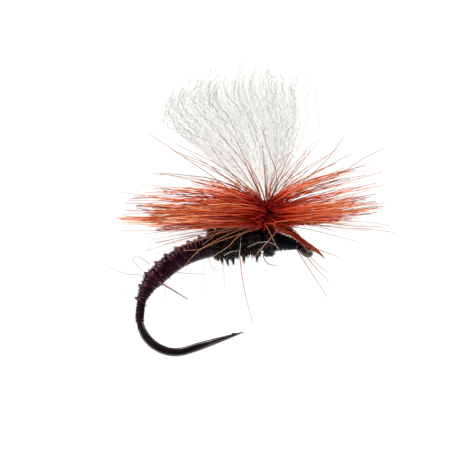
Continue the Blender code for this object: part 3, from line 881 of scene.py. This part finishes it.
def make_hackle(mat):
    rng = draws(6)
    for number, row in enumerate(HACKLE_TURNS):
        count, height, root, root_spread, tail_slope, eye_slope, spread, eye_reach, shortest, locks = row
        angle = hackle_angles(count, rng)
        low = height + rng.uniform(-0.14, 0.14, count)
        side = -np.cos(angle)
        longest = np.where(side > 0, TAIL_REACH + 0.9 * side, EYE_REACH + (EYE_REACH - eye_reach) * side)
        reach = longest * rng.uniform(shortest - 0.08 + 0.08 * side, 1.04)
        settled = (tail_slope + eye_slope) / 2 - side * (eye_slope - tail_slope) / 2
        first = slopes(ROOT_STEEPNESS + root + rng.normal(0, root_spread, count))
        last = slopes(settled + rng.normal(0, spread, count))
        lines = barb_lines(angle, low, first, last, reach, rng)
        lines, lock = clump(lines, locks, 0.74 + 0.18 * side, rng)
        lines = kinked(lines, rng, 6, 0.05)
        radii = taper(lines.shape[1], 0.036, 0.015, 0.9)[None] * rng.uniform(0.75, 1.25, (count, 1))
        tone = 0.5 * rng.uniform(0, 1, locks)[lock] + 0.5 * rng.uniform(0, 1, count)
        tone = np.clip(1.5 * tone - 0.25, 0, 1)
        replaced = [f"hackle_barbs_{number + 1}"]
        strands(f"hackle_turn_{number + 1}", lines, radii, mat, 5, None, replaced, tone)


def make_web(mat):
    """The short, matted roots of the barbs, which hide the post."""
    rng = draws(12)
    count = 400
    angle = rng.uniform(0, TURN, count)
    low = rng.uniform(0.1, 1.8, count)
    first = slopes(np.maximum(-14 + 30 * low / 1.8 + rng.normal(0, 16, count), -16))
    lines = barb_lines(angle, low, first, first * 0.5, rng.uniform(0.7, 2.3, count), rng, 8, 1.0)
    barbs("hackle_web", kinked(lines, rng, 4, 0.05), mat, rng, (0.046, 0.014), (0.7, 1.3), (0, 1))


def make_steep_barbs(mat):
    """The few barbs that stand well above the rest."""
    rng = draws(7)
    count = 64
    angle = rng.uniform(0, TURN, count)
    low = rng.uniform(1.35, 2.05, count)
    steep = rng.uniform(0, 1, count) ** 1.6
    last = slopes(8 + 42 * steep)
    first = slopes(30 + 38 * steep + rng.normal(0, 8, count))
    reach = rng.uniform(3.5, 9.0, count) * (1 - 0.42 * steep)
    lines = kinked(barb_lines(angle, low, first, last, reach, rng, ease=1.6), rng, 5, 0.07)
    barbs("hackle_steep_barbs", lines, mat, rng, (0.036, 0.014, 0.8), (0.7, 1.15), (0.35, 0.9))
    return rng


def make_low_barbs(tan, rose, rng):
    """The few barbs that droop, and the pinker ones under the tail side."""
    count = 26
    angle = rng.choice((0, np.pi, np.pi), count) + rng.uniform(-0.7, 0.7, count)
    low = rng.uniform(0.15, 0.5, count)
    last = slopes(rng.uniform(-15, -4, count))
    lines = barb_lines(angle, low, last * 0.5, last, rng.uniform(5.0, 8.6, count), rng)
    barbs("hackle_low_barbs", lines, tan, rng, (0.03, 0.013, 0.8), (0.7, 1.15), (0.2, 1))

    count = 24
    angle = np.pi + rng.uniform(0.05, 0.9, count)
    low = rng.uniform(0.25, 0.75, count)
    last = slopes(rng.uniform(-2, 3, count))
    first = slopes(rng.uniform(-8, 2, count))
    lines = barb_lines(angle, low, first, last, rng.uniform(3.5, 7.5, count), rng)
    barbs("hackle_underside", lines, rose, rng, (0.048, 0.018, 0.8), (0.7, 1.1), (0, 1))


# Barbs that lie out of order, as routes from end to end.
LOOSE_BARBS = [
    ((-3.05, -0.75, 2.24), (-2.5, -1.15, 1.15), (-1.92, -0.95, 0.02)),
    ((-1.98, -0.95, 1.43), (-2.95, -1.4, 0.35), (-3.86, -1.25, -0.72)),
    ((-3.17, -0.75, 1.9), (-4.67, -1.3, 1.17), (-6.23, -1.25, 0.61), (-7.45, -1.1, 0.1), (-8.6, -1, 0)),
    ((-3.1, -0.8, 1.76), (-5.36, -1.35, 1.58), (-6.17, -1.3, 1.22), (-7.25, -1.1, 0.38)),
    ((-3.05, -0.8, 1.66), (-4.58, -1.4, 1.12), (-5.54, -1.35, 0.22), (-6.85, -1.05, -0.6)),
    ((-3, -0.8, 1.85), (-4.95, -1.3, 1.35), (-7.39, -1.15, 0.08), (-8.7, -0.95, -1.32)),
    ((-4.7, -0.8, 0.2), (-4.6, -1, -0.7), (-4.4, -1.1, -2.3), (-4.05, -1.1, -3.9), (-3.72, -1.05, -5.1)),
    ((-0.75, -0.15, 0.2), (0.3, -0.35, -1.45), (1.5, -0.5, -3.3)),
    ((-0.4, -0.1, 0.1), (0.6, -0.2, -1.15), (1.6, -0.3, -2.2)),
    ((-0.25, 0.2, 0.1), (0.75, 0.25, -0.95), (1.55, 0.3, -1.6)),
    ((0.45, -1.02, 0.18), (1, -0.85, 0), (1.6, -0.8, -0.22), (2.3, -0.85, -0.45)),
    ((-1.98, -1, 1.36), (-1.2, -1.2, 1.05), (-0.45, -1.1, 0.72)),
    ((-2.35, -0.9, 2.25), (-2.25, -1.25, 1.8), (-1.98, -1.3, 1.4)),
    ((-2.75, -0.5, 2.3), (-0.6, -1.9, 2.2), (1.4, -3, 1.6)),
    ((-6.6, -2.4, 2.95), (-6.95, -2.6, 2.55), (-7.15, -2.7, 2)),
]

# Barbs that stand up beside the wing and across it.
UPRIGHT_BARBS = [
    ((-3.16, -0.45, 2.54), (-5, -0.6, 3.96), (-6.6, -0.7, 5.2), (-8.65, -0.75, 6.6), (-11.05, -0.8, 8.2)),
    ((-3.1, -0.45, 2.8), (-4.4, -0.7, 4.1), (-6.3, -0.8, 5.6), (-8.2, -0.8, 6.85)),
    ((-2.3, -0.45, 2.6), (-1.74, -0.5, 3.15), (0.08, -0.6, 4.4), (2.1, -0.65, 5.18),
     (3.94, -0.7, 6.4), (5.4, -0.7, 7.1)),
    ((-2.35, -0.45, 2.8), (-1.95, -0.55, 3.35), (-0.5, -0.8, 4.57), (1.3, -0.9, 6.2), (2.6, -0.9, 7.9)),
    ((-2.6, -0.45, 3), (-2.4, -0.7, 3.8), (-0.7, -1.1, 5.6), (0.28, -1.2, 7)),
    ((-2.75, -0.45, 3), (-2.55, -1.2, 4), (-2.05, -1.5, 5.2), (-2.65, -1.7, 7), (-3.06, -1.8, 8.4)),
    ((-2.8, -0.45, 3), (-2.35, -1.1, 4.4), (-1.1, -1.4, 6.4)),
    ((-2.9, -0.45, 3), (-3.2, -1, 3.75), (-4.2, -1.5, 6), (-4.8, -1.7, 7.6)),
    ((-2.95, -0.45, 2.9), (-3.8, -0.9, 3.9), (-5.6, -1.4, 5.8), (-6.6, -1.6, 7.2)),
]


def make_routed_barbs(name, routes, mat, darkest, palest):
    rng = draws(8)
    lines = smooth_lines(routes, 16, 0.2)
    tone = rng.uniform(darkest, palest, len(lines))
    strands(name, lines, taper(16, 0.038, 0.015), mat, 5, tone=tone)


TIP_ROUTE = [
    (-2.7, -0.72, 2.45), (-2.15, -0.98, 2.00), (-1.55, -1.08, 1.6),
    (-0.98, -1.1, 1.2), (-0.48, -1.1, 0.8), (0.08, -1.05, 0.4),
    (0.64, -1.00, 0.04), (1.02, -0.95, -0.28), (1.5, -0.9, -0.74),
]

# The matted tip's half width along its length.
TIP_WIDTH = [
    (0, 0.5), (0.2, 0.52), (0.38, 0.3), (0.55, 0.15),
    (0.7, 0.13), (0.84, 0.09), (0.9, 0.02), (1, 0.008),
]


def make_hackle_tip(mat):
    """The tied-off tip of the feather: barbs matted together into a ragged point."""
    rng = draws(9)
    spine = smooth_lines([TIP_ROUTE], 32)[0]
    side = unit(np.cross(tangents(spine[None])[0], Y_AXIS))
    last_row = len(spine) - 1
    rows = np.arange(len(spine))
    count = 170
    points = 16
    lines = []
    for _ in range(count):
        first = rng.uniform(-0.1, 0.62)
        last = min(first + rng.uniform(0.22, 0.42), rng.uniform(0.78, 1.0))
        at = np.linspace(max(first, 0), last, points) * last_row
        width = profile(TIP_WIDTH, at / last_row)
        fan = np.linspace(rng.uniform(0.2, 0.6), 1.12, points)
        over = rng.uniform(-1, 1) * fan
        depth = rng.uniform(-0.5, 0.5)
        line = read_between(at, rows, spine) + (over * width)[:, None] * read_between(at, rows, side)
        lines.append(line + (depth * width)[:, None] * Y_AXIS)
    lines = np.array(lines) + wander(rng, count, points, 5, 0.032)
    tones = (0.1, 0.75)
    barbs("hackle_tip_barbs", lines, mat, rng, (0.042, 0.014), (0.8, 1.3), tones, ["hackle_tip"])


# ---- wing

# The left and right edges from the post to the trimmed top, as (x, z).
WING_LEFT = [
    (-3.05, 3.45), (-3.6, 4.1), (-4.9, 5.2), (-6.65, 6.65),
    (-8.3, 7.95), (-9.65, 9.1), (-9.85, 10.1), (-9.35, 11.15),
]
WING_RIGHT = [
    (-2.45, 3.45), (-2.05, 4.2), (-1.7, 5.2), (-1.3, 6.3),
    (-0.9, 7.6), (-0.52, 9.0), (-0.7, 10.6), (-0.75, 12.3),
]

# Up the wing: half its depth, and how far its middle bows up beyond its edges.
WING_DEPTH = [(0, 0.35), (0.15, 0.55), (0.5, 1.25), (0.85, 1.75), (1, 1.7)]
WING_BOW = [(0, 0), (0.3, 0.4), (0.7, 0.85), (1, 0.85)]
WING_POINTS = 100
YARN_RADIUS = 0.015


class Fan:
    """The wing's middle, half width, half depth and bow at each step from the post to the top."""

    def __init__(self):
        self.share = shares(WING_POINTS)
        edges = [[(x, 0, z) for x, z in edge] for edge in (WING_LEFT, WING_RIGHT)]
        left, right = smooth_lines(edges, WING_POINTS)
        self.middle, self.half = (left + right) / 2, (right - left) / 2
        self.depth = profile(WING_DEPTH, self.share)
        self.bow = profile(WING_BOW, self.share)

    def point(self, row, u, v):
        """Points at a step, across the wing by u and into it by v, which both go from -1 to 1."""
        place = self.middle[row] + u[..., None] * self.half[row] + (v * self.depth[row])[..., None] * Y_AXIS
        return place + (self.bow[row] * (1 - u**2))[..., None] * np.array((-0.2, 0, 1))


# Single fibres that have pulled free of the fan.
STRAYS = [
    ((-1.15, 0.3, 8.2), (-0.45, 0.3, 9.3), (-0.15, 0.3, 10.4), (0.45, 0.2, 11.2)),
    ((-1.05, -0.4, 8.9), (-0.35, -0.4, 9.6), (0.35, -0.4, 10.3), (0.6, -0.4, 10.9)),
    ((-1.0, 0.6, 10.6), (-0.3, 0.6, 11.1), (0.17, 0.6, 11.9), (0.22, 0.6, 12.6)),
    ((-2.1, -0.2, 11.6), (-2.0, -0.2, 12.2), (-2.05, -0.2, 12.9)),
    ((-3.6, 0.3, 11.4), (-3.5, 0.3, 12.1), (-3.6, 0.3, 12.7)),
    ((-6.6, 0.2, 10.9), (-6.9, 0.2, 11.7), (-6.8, 0.2, 12.4)),
    ((-9.3, -0.3, 9.0), (-9.9, -0.3, 9.4), (-10.2, -0.3, 9.35)),
    ((-9.2, 0.4, 8.9), (-9.8, 0.4, 9.7), (-9.7, 0.4, 10.2)),
]


def make_wing(mat):
    """The fan of yarn: crimped fibres in pairs, each pair cut at its own length."""
    rng = draws(10)
    fan = Fan()
    t = fan.share
    locks, each = 66, 2
    count = locks * each

    def share_out(values):
        return np.repeat(values, each, axis=0)

    for part in range(5):
        u = share_out(rng.uniform(-1.0, 1.0, locks))
        u = u + rng.normal(0, 0.07, count) * np.where(rng.uniform(0, 1, count) < 0.2, 2.4, 1)
        v = rng.uniform(-1, 1, locks) * np.sqrt(np.clip(1.05 - u[::each] ** 2, 0.05, 1))
        v = share_out(v) + rng.normal(0, 0.1, count)
        lines = fan.point(np.arange(WING_POINTS)[None], u[:, None], v[:, None])
        shared = share_out(wander(rng, locks, WING_POINTS, 7, 0.2))
        lines = lines + (shared + wander(rng, count, WING_POINTS, 9, 0.17)) * (t**0.7)[None, :, None]
        crimp = share_out(rng.uniform(8.0, 17.0, (locks, 1)))
        phase = share_out(rng.uniform(0, TURN, (locks, 1))) + rng.normal(0, 0.7, (count, 1))
        drift = share_out(np.cumsum(rng.normal(0, 0.26, (locks, WING_POINTS)), axis=1))
        size = share_out(rng.uniform(0.04, 0.13, (locks, 1))) * rng.uniform(0.6, 1.4, (count, 1))
        wave = np.sin(TURN * crimp * t[None] + phase + drift) * size
        way = unit(rng.normal(0, 1, (locks, 3)) * np.array((1, 0.6, 0.4)))
        lines = lines + (wave * np.clip(t * 5, 0, 1)[None])[:, :, None] * share_out(way)[:, None]
        cut = rng.uniform(0.89, 1.0, count) ** np.where(rng.uniform(0, 1, count) < 0.25, 2.6, 0.6)
        lines = trimmed(lines, cut)
        radii = taper(WING_POINTS, YARN_RADIUS, 0.02)[None] * rng.uniform(0.75, 1.3, (count, 1))
        tone = rng.uniform(0, 1, count)
        replaced = ["post_yarn"] if part == 0 else ()
        strands(f"wing_fibres_{part + 1}", lines, radii, mat, 3, None, replaced, tone)
    make_crossing_fibres(mat, fan)
    lines = smooth_lines(STRAYS, 30)
    lines = lines + wander(rng, len(lines), 30, 6, 0.05)
    strands("wing_strays", lines, 0.017, mat, 4, tone=rng.uniform(0, 0.3, len(lines)))


def make_crossing_fibres(mat, fan):
    """Short curls of yarn that lie across the rest."""
    rng = draws(13)
    count, points = 620, 26
    rows = rng.integers(18, WING_POINTS - 4, count)
    u = rng.uniform(-1.0, 1.0, count)
    v = rng.uniform(-1, 1, count) * np.sqrt(1.05 - u**2)
    middle = fan.point(rows, u, v)
    up = unit(fan.middle[rows] - fan.middle[rows - 8]) + u[:, None] * np.array((0.35, 0, 0))
    way = unit(up + rng.normal(0, 0.45, (count, 3)) * np.array((1, 0.5, 1)))
    size = rng.uniform(0.5, 1.6, count)
    t = np.linspace(-0.5, 0.5, points)
    lines = middle[:, None] + way[:, None] * (size[:, None] * t[None])[:, :, None]
    lines = lines + wander(rng, count, points, 6, 0.09)
    radii = YARN_RADIUS * rng.uniform(0.7, 1.2, (count, 1))
    strands("wing_curls", lines, radii, mat, 3, tone=rng.uniform(0, 0.5, count))


def trimmed(lines, cut):
    """The same lines, each ended at its own share of its length."""
    count, points, _ = lines.shape
    at = shares(points)[None] * cut[:, None] * (points - 1)
    low = np.minimum(at.astype(int), points - 2)
    part = (at - low)[..., None]
    rows = np.arange(count)[:, None]
    return lines[rows, low] * (1 - part) + lines[rows, low + 1] * part


# ---- loose ends

# Fine hairs that have worked loose: route, radius and tone.
HAIRS = [
    (((-10.97, -0.3, -0.96), (-11.6, -0.4, -0.5), (-12.03, -0.4, -0.5), (-12.1, -0.4, -0.75),
     (-11.41, -0.3, -1.46)), 0.018, 0.4),
    (((-11.3, -0.5, -1.78), (-11.72, -0.5, -1.71), (-12.47, -0.6, -1.65),
     (-13.72, -0.6, -1.25)), 0.018, 0.3),
    (((-12, -0.3, -3.35), (-12.6, -0.3, -3.2), (-13.1, -0.3, -3.05)), 0.01, 0.8),
    (((-9.4, -0.4, -1.5), (-8.28, -0.9, -1.6), (-7.1, -0.9, -1.65)), 0.018, 0.1),
    (((-7.26, -0.3, -0.2), (-7.15, -0.7, -2), (-7.19, -0.7, -3.34)), 0.008, 0.9),
    (((-5.8, -0.4, -0.3), (-5.74, -0.7, -1.7), (-5.72, -0.7, -2.55)), 0.012, 0.3),
    (((-5.95, -0.4, -0.4), (-6.5, -0.7, -1.5), (-6.91, -0.7, -2.21)), 0.008, 0.9),
    (((-6.95, -0.4, -0.45), (-6.5, -0.7, -1.25), (-6.1, -0.7, -1.42)), 0.014, 0.6),
    (((-2.95, -0.5, 0), (-2.98, -0.7, -0.45), (-2.67, -0.8, -0.92), (-2.11, -0.8, -1.05)), 0.032, 0),
    (((-10.41, -0.9, 1.23), (-10.94, -0.8, 0.32), (-10.81, -0.8, -0.46)), 0.012, 0.8),
    (((-9.75, -0.4, -2.3), (-9.85, -0.9, -3.05), (-10.16, -0.8, -3.4)), 0.014, 0.8),
    (((-4.15, -0.85, 0.2), (-3.42, -1.38, 0.55), (-2.67, -1.42, 0.61), (-2.25, -1.2, 0.42),
     (-1.92, -0.7, 0.17)), 0.017, 0.75),
    (((-4.54, -0.9, 1.2), (-4.62, -1.38, 0.1), (-4.76, -0.85, -0.95)), 0.019, 0.9),
    (((-5.72, -0.8, -0.36), (-5.36, -1.25, -0.11), (-4.67, -1.35, 0.02)), 0.018, 0.8),
]


def make_hairs(mat):
    lines = smooth_lines([route for route, _, _ in HAIRS], 24)
    radii = np.array([taper(24, 1.25 * radius, 0.7 * radius) for _, radius, _ in HAIRS])
    strands("loose_hairs", lines, radii, mat, 5, tone=np.array([tone for _, _, tone in HAIRS]))


def make_rib_tag(mat):
    route = [(-10.25, -0.72, -2.22), (-9.6, -0.8, -2.6), (-8.9, -0.78, -3.02), (-8.28, -0.74, -3.42)]
    lines = smooth_lines([route], 20)
    strands("rib_tail", lines, taper(20, 0.06, 0.03), mat, 6, replaces=["rib_tag"])


# ---- studio

FLOOR_HALF = 160 * MM
FLOOR_DEPTH = -60 * MM
TENT_TOP = (0, 0.35, 0.94)
TENT_SEEN = 1.05
TENT_LIGHT = 1.7
TENT_GREYS = [(0.0, (0.04,) * 3), (0.45, (0.12,) * 3), (0.72, (0.85,) * 3), (1.0, (1.0,) * 3)]

# Softboxes: place, size and watts. They all face the middle of the fly.
SOFTBOXES = {
    "key": ((-60, -75, 140), (80, 80), 0.26),
    "left_strip": ((-150, -50, 20), (40, 120), 0.07),
    "right_strip": ((150, -60, 40), (40, 120), 0.09),
    "rim": ((-40, 110, 90), (120, 60), 0.3),
}
FLY_MIDDLE = Vector((-4, 0, 2))

CAMERA_TARGET = np.array((-5.32, 0, 1.4))
CAMERA_ELEVATION = math.radians(2)
CAMERA_DISTANCE = 250.0
SEEN_WIDTH = 32.2
SENSOR_WIDTH = 36


def make_floor():
    """A small white table, far below."""
    corners = [(-1, -1), (1, -1), (1, 1), (-1, 1)]
    mesh = bpy.data.meshes.new("studio_floor")
    mesh.from_pydata([(x * FLOOR_HALF, y * FLOOR_HALF, FLOOR_DEPTH) for x, y in corners], [], [(0, 1, 2, 3)])
    mesh.materials.append(floor_material())
    add_object("studio_floor", mesh)


def make_tent():
    """A tent that is seen as white. It lights from above and behind, and is dark towards the camera."""
    n = Nodes(bpy.data.worlds.new("studio"), "Background")
    n.set(Color=(1, 1, 1, 1), Strength=TENT_SEEN)
    lit = n.add("ShaderNodeBackground")
    n.set(lit, Strength=TENT_LIGHT)
    towards = n.add("ShaderNodeVectorMath", operation="DOT_PRODUCT")
    towards.inputs[1].default_value = TENT_TOP
    n.link(n.add("ShaderNodeTexCoord").outputs["Generated"], towards.inputs[0])
    share = n.add("ShaderNodeMapRange")
    n.set(share, From_Min=-1.0)
    n.link(towards.outputs["Value"], share.inputs["Value"])
    n.link(n.ramp(share.outputs["Result"], TENT_GREYS), lit.inputs["Color"])
    seen = n.add("ShaderNodeLightPath").outputs["Is Camera Ray"]
    both = n.mix_shaders(seen, lit.outputs["Background"], n.shader.outputs["Background"])
    n.link(both, n.tree.nodes["World Output"].inputs["Surface"])
    bpy.context.scene.world = n.owner


def make_softbox(name, place, size, watts):
    light = bpy.data.lights.new(name, "AREA")
    light.shape = "RECTANGLE"
    light.size, light.size_y = size[0] * MM, size[1] * MM
    light.energy = watts
    made = add_object(name, light)
    made.location = Vector(place) * MM
    aim = FLY_MIDDLE * MM - made.location
    made.rotation_euler = aim.to_track_quat("-Z", "Y").to_euler()


def make_camera():
    """Level with the fly, from its right-hand side, through a long lens."""
    data = bpy.data.cameras.new("camera")
    data.sensor_width = SENSOR_WIDTH
    data.lens = SENSOR_WIDTH * CAMERA_DISTANCE / SEEN_WIDTH
    data.clip_start = 10 * MM
    data.clip_end = 20000 * MM
    camera = add_object("camera", data)
    back = np.array((0, -math.cos(CAMERA_ELEVATION), math.sin(CAMERA_ELEVATION)))
    camera.location = (CAMERA_TARGET + CAMERA_DISTANCE * back) * MM
    camera.rotation_euler = (math.pi / 2 - CAMERA_ELEVATION, 0, 0)
    bpy.context.scene.camera = camera
    bpy.context.scene.view_settings.view_transform = "Standard"


def main():
    thread = {name: thread_material(name) for name in THREADS}
    feather = {name: feather_material(name) for name in FEATHERS}
    black, tan = thread["black_thread"], feather["tan_hackle"]
    herl = herl_material()
    make_hook(hook_bronze())
    make_abdomen(thread["claret_core"], thread["claret_thread"], thread["red_floss"])
    make_thread_base(thread["claret_thread"])
    make_thorax(herl, black)
    make_hanging_tufts(herl)
    make_front_herl(herl, black)
    make_head(black)
    make_post(thread["crimson_thread"], thread["hackle_quill"])
    make_hackle(feather["rust_hackle"])
    make_web(feather["crimson_web"])
    rng = make_steep_barbs(tan)
    make_low_barbs(tan, feather["rose_hackle"], rng)
    make_routed_barbs("loose_barbs", LOOSE_BARBS, tan, 0.6, 1.0)
    make_routed_barbs("upright_barbs", UPRIGHT_BARBS, tan, 0.2, 0.6)
    make_hackle_tip(feather["matted_hackle"])
    make_wing(yarn_material())
    make_hairs(hair_material())
    make_rib_tag(thread["pink_floss"])
    make_floor()
    make_tent()
    for name, values in SOFTBOXES.items():
        make_softbox(name, *values)
    make_camera()


main()
